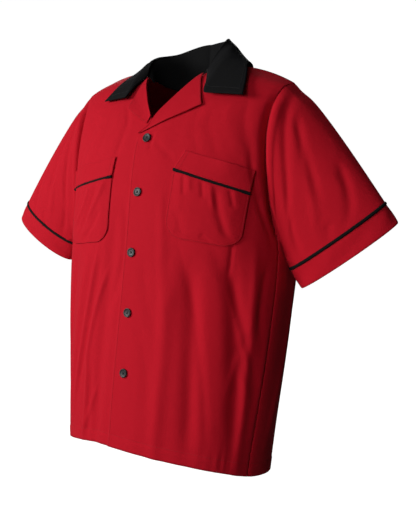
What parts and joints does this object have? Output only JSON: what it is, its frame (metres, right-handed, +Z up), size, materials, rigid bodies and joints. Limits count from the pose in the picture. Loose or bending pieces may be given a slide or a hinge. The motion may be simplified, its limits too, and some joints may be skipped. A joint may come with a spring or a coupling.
{
  "type": "bowling shirt",
  "caption": "Short-sleeved camp-collar shirt, buttoned and filled out hollow, with contrast collar, two piped patch pockets and piped sleeve bands.",
  "frame": {"origin": "middle of the shoulder line at the base of the neck, where the wearer's shoulders carry the shirt", "axes": "+X to the wearer's left, -Y out of the front, +Z up from the hem to the collar"},
  "size_m": [0.7843, 0.3036, 0.7554],
  "materials": {
    "red_cloth": "matt, fine plain weave",
    "black_cloth": "matt, fine plain weave",
    "black_resin": "satin"
  },
  "bodies": {
    "root": {"left_front": "red_cloth", "right_front": "red_cloth", "back": "red_cloth", "left_sleeve": "red_cloth", "right_sleeve": "red_cloth", "left_sleeve_band": "red_cloth", "right_sleeve_band": "red_cloth", "left_sleeve_piping": "black_cloth", "right_sleeve_piping": "black_cloth", "collar": "black_cloth", "left_lapel": "red_cloth", "right_lapel": "red_cloth", "left_pocket": "red_cloth", "right_pocket": "red_cloth", "left_pocket_band": "red_cloth", "right_pocket_band": "red_cloth", "left_pocket_piping": "black_cloth", "right_pocket_piping": "black_cloth", "button_1": "black_resin", "button_2": "black_resin", "button_3": "black_resin", "button_4": "black_resin", "button_5": "black_resin"}
  },
  "joints": []
}
